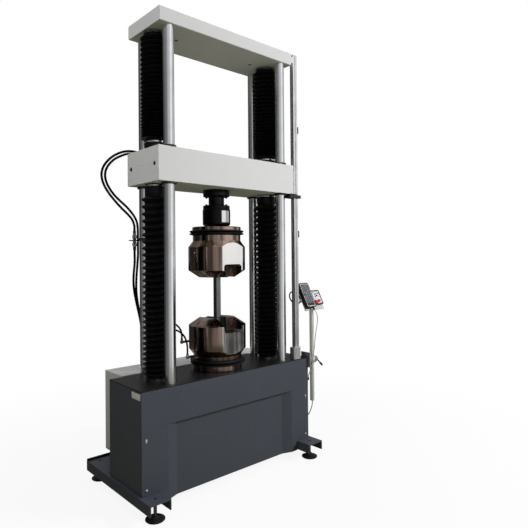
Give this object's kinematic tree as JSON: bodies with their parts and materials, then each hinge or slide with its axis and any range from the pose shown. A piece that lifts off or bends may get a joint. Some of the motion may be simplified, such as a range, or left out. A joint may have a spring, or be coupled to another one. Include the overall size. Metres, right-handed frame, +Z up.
{
  "type": "universal testing machine",
  "caption": "Floor-standing universal testing machine with guide columns, screw-driven crosshead, load cell, wedge grips, limit rail and operator handset.",
  "frame": {"origin": "point on the floor under the load axis, midway between the screws", "axes": "+Z up along the load axis, +X to the right seen from the front, -Y towards the operator"},
  "size_m": [1.6154, 0.827, 2.941],
  "materials": {
    "slate_paint": "fine textured powder coat",
    "pale_paint": "smooth light powder coat",
    "cabinet_paint": "light grey powder coat",
    "black_paint": "satin black",
    "tread_black": "black tread plate",
    "chrome": "polished hard chrome",
    "steel": "machined",
    "nickel_steel": "polished nickel plate",
    "jaw_steel": "hardened, dark",
    "black_oxide": "black oxide",
    "aluminium": "anodised",
    "rubber": "matt black rubber",
    "foot_rubber": "hard black rubber",
    "hose_rubber": "smooth hose cover",
    "cable_black": "cable jacket",
    "cable_grey": "cable jacket",
    "black_plastic": "moulded",
    "red_plastic": "moulded"
  },
  "bodies": {
    "base": {"skid_frame": "slate_paint", "foot_pads": "foot_rubber", "foot_bolts": "steel", "base_frame": "slate_paint", "tread_plate": "tread_black", "upper_front_panel": "slate_paint", "lower_front_panel": "slate_paint", "side_panels": "slate_paint", "rear_panel": "slate_paint", "panel_screws": "chrome", "guide_columns": "chrome", "top_beam": "pale_paint", "screw_bearings": "steel", "servo_motor": "black_paint", "drive_belts": "rubber", "upper_bellows": "rubber", "lower_bellows": "rubber", "bellows_bands": "steel", "drive_cabinet": "cabinet_paint", "platform_rubbers": "rubber", "guide_rail": "aluminium", "base_clamps": "aluminium", "lower_grip_piston": "nickel_steel", "lower_grip_boot": "rubber", "test_bar": "steel", "hose_fittings": "steel", "outer_hose": "hose_rubber", "inner_hose": "hose_rubber", "grip_hose_high": "hose_rubber", "grip_hose_low": "hose_rubber", "pole_cable": "cable_black"},
    "crosshead": {"crosshead_beam": "pale_paint", "crosshead_covers": "pale_paint", "crosshead_glands": "steel", "ball_nuts": "steel", "column_guides": "black_plastic", "crosshead_collars": "black_paint", "load_adapter": "black_oxide", "load_cell": "black_oxide", "string_bolts": "black_oxide", "upper_grip_piston": "nickel_steel", "upper_grip_boot": "rubber", "rail_arm": "black_paint"},
    "left_screw": {"left_ball_screw": "steel"},
    "right_screw": {"right_ball_screw": "steel"},
    "motor_shaft": {"motor_pulley": "steel"},
    "upper_grip": {"upper_grip_housing": "nickel_steel"},
    "lower_grip": {"lower_grip_housing": "nickel_steel"},
    "upper_jaw_left": {"upper_left_jaw": "jaw_steel"},
    "upper_jaw_right": {"upper_right_jaw": "jaw_steel"},
    "lower_jaw_left": {"lower_left_jaw": "jaw_steel"},
    "lower_jaw_right": {"lower_right_jaw": "jaw_steel"},
    "pole": {"operator_pole": "cabinet_paint", "handset": "black_plastic", "control_box": "black_plastic", "handset_cable": "cable_grey"},
    "lever": {"clamp_lever": "steel"},
    "estop": {"estop_button": "red_plastic"},
    "rail_stop_upper": {"upper_stop": "aluminium"},
    "rail_stop_lower": {"lower_stop": "aluminium"}
  },
  "joints": [
    {"name": "crosshead_travel", "type": "slide", "parent": "base", "child": "crosshead", "axis": [0, 0, 1], "range_m": [-0.006, 0.45], "deforming": ["upper_bellows", "lower_bellows", "outer_hose", "inner_hose"]},
    {"name": "left_screw_turn", "type": "hinge", "parent": "base", "child": "left_screw", "pos_m": [-0.466, 0, 0.709], "axis": [0, 0, 1], "continuous": true},
    {"name": "right_screw_turn", "type": "hinge", "parent": "base", "child": "right_screw", "pos_m": [0.466, 0, 0.709], "axis": [0, 0, 1], "continuous": true},
    {"name": "motor_turn", "type": "hinge", "parent": "base", "child": "motor_shaft", "pos_m": [0, 0.06, 0.5], "axis": [0, 0, 1], "continuous": true},
    {"name": "upper_grip_stroke", "type": "slide", "parent": "crosshead", "child": "upper_grip", "axis": [0, 0, 1], "range_m": [-0.025, 0], "deforming": ["upper_grip_boot"]},
    {"name": "upper_left_jaw_slide", "type": "slide", "parent": "crosshead", "child": "upper_jaw_left", "axis": [-1, 0, 0], "range_m": [0, 0.0092]},
    {"name": "upper_right_jaw_slide", "type": "slide", "parent": "crosshead", "child": "upper_jaw_right", "axis": [1, 0, 0], "range_m": [0, 0.0092]},
    {"name": "lower_grip_stroke", "type": "slide", "parent": "base", "child": "lower_grip", "axis": [0, 0, 1], "range_m": [0, 0.025], "deforming": ["lower_grip_boot", "grip_hose_high", "grip_hose_low"]},
    {"name": "lower_left_jaw_slide", "type": "slide", "parent": "base", "child": "lower_jaw_left", "axis": [-1, 0, 0], "range_m": [0, 0.0092]},
    {"name": "lower_right_jaw_slide", "type": "slide", "parent": "base", "child": "lower_jaw_right", "axis": [1, 0, 0], "range_m": [0, 0.0092]},
    {"name": "pole_swivel", "type": "hinge", "parent": "base", "child": "pole", "pos_m": [0.735, -0.2, 0.688], "axis": [0, 0, 1], "range_deg": [-40, 40], "deforming": ["handset_cable"]},
    {"name": "clamp_lever_turn", "type": "hinge", "parent": "base", "child": "lever", "pos_m": [0.79, -0.2, 0.688], "axis": [1, 0, 0], "range_deg": [-60, 60]},
    {"name": "estop_press", "type": "slide", "parent": "pole", "child": "estop", "axis": [0, 0.887, -0.4617], "range_m": [0, 0.004], "stiffness_N_per_m": 800},
    {"name": "upper_stop_slide", "type": "slide", "parent": "base", "child": "rail_stop_upper", "axis": [0, 0, 1], "range_m": [0, 0.42]},
    {"name": "lower_stop_slide", "type": "slide", "parent": "base", "child": "rail_stop_lower", "axis": [0, 0, 1], "range_m": [-0.3, 0.12]}
  ],
  "couplings": [
    {"joint": "left_screw_turn", "follows": "crosshead_travel", "rad_per_m": 314.16},
    {"joint": "right_screw_turn", "follows": "crosshead_travel", "rad_per_m": 314.16},
    {"joint": "motor_turn", "follows": "crosshead_travel", "rad_per_m": 658.24},
    {"joint": "upper_left_jaw_slide", "follows": "upper_grip_stroke", "ratio": -0.36397},
    {"joint": "upper_right_jaw_slide", "follows": "upper_grip_stroke", "ratio": -0.36397},
    {"joint": "lower_left_jaw_slide", "follows": "lower_grip_stroke", "ratio": 0.36397},
    {"joint": "lower_right_jaw_slide", "follows": "lower_grip_stroke", "ratio": 0.36397}
  ]
}
